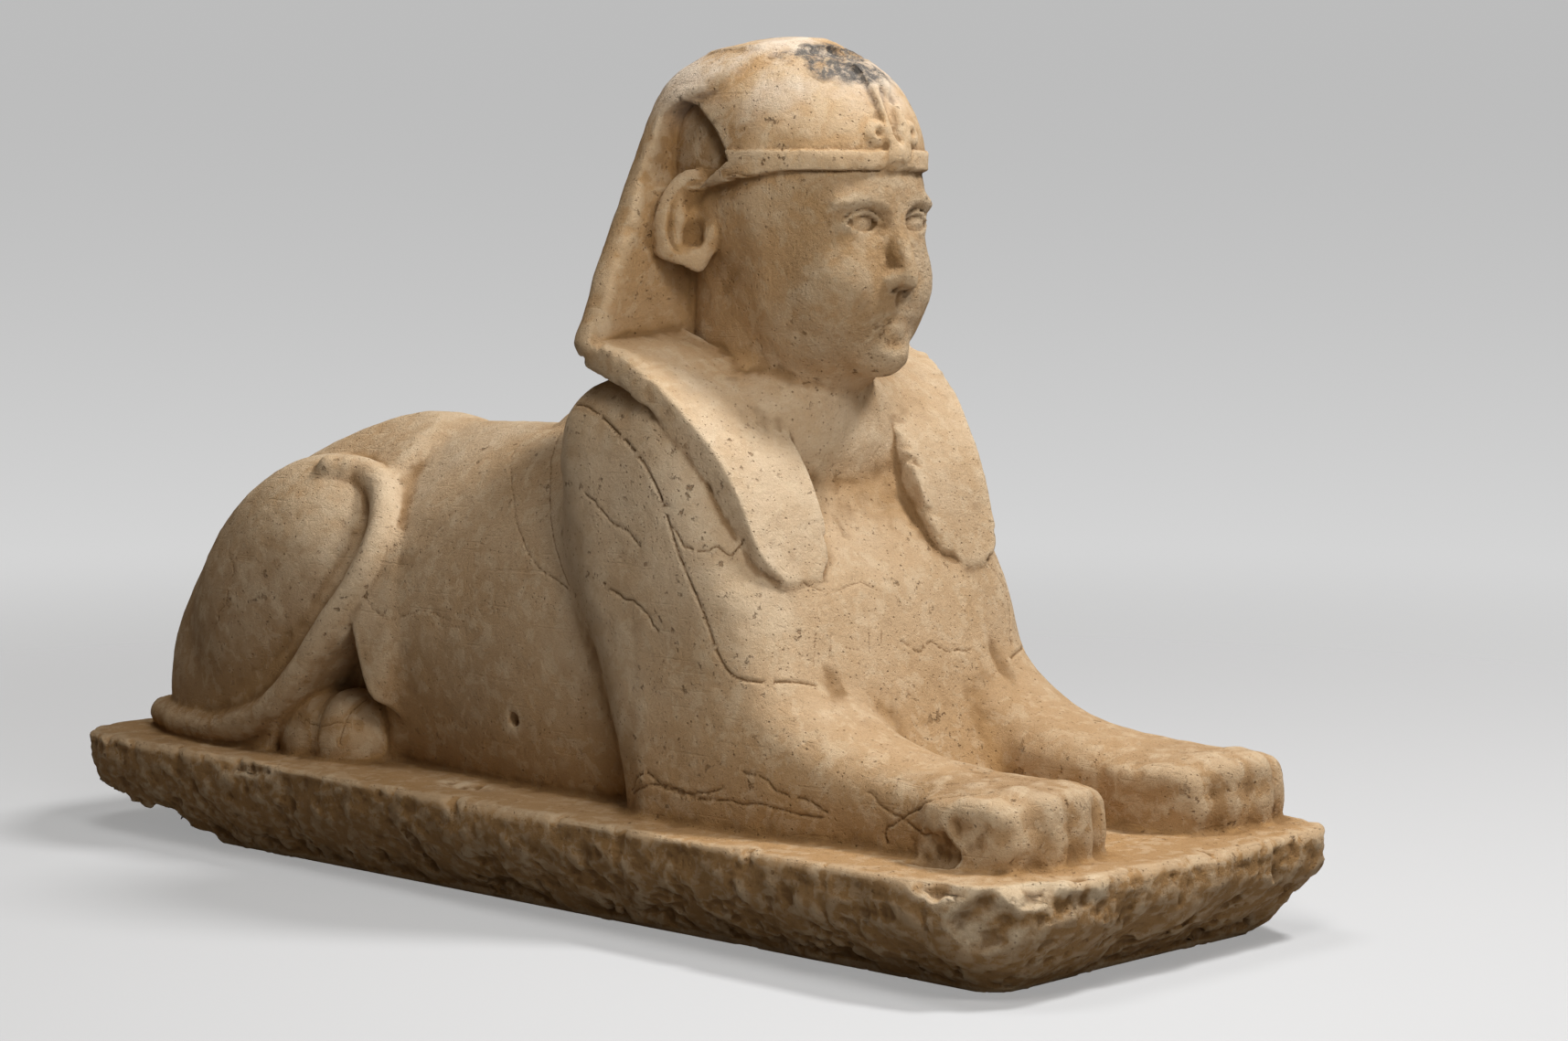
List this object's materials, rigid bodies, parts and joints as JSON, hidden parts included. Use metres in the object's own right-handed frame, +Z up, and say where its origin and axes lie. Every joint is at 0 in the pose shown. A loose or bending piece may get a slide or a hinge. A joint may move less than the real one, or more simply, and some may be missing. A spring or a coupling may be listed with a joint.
{
  "type": "sphinx statue",
  "caption": "Recumbent limestone sphinx with a royal headcloth, carved in one block with a low rough plinth; weathered, with old breaks.",
  "frame": {"origin": "middle of the overall box at the flat underside of the plinth", "axes": "+Z up, the statue faces -Y with its forepaws at the -Y end, +X is the statue's own left side"},
  "size_m": [0.4562, 1.266, 0.769],
  "materials": {
    "limestone": "matte"
  },
  "bodies": {
    "root": {"sphinx": "limestone"}
  },
  "joints": []
}
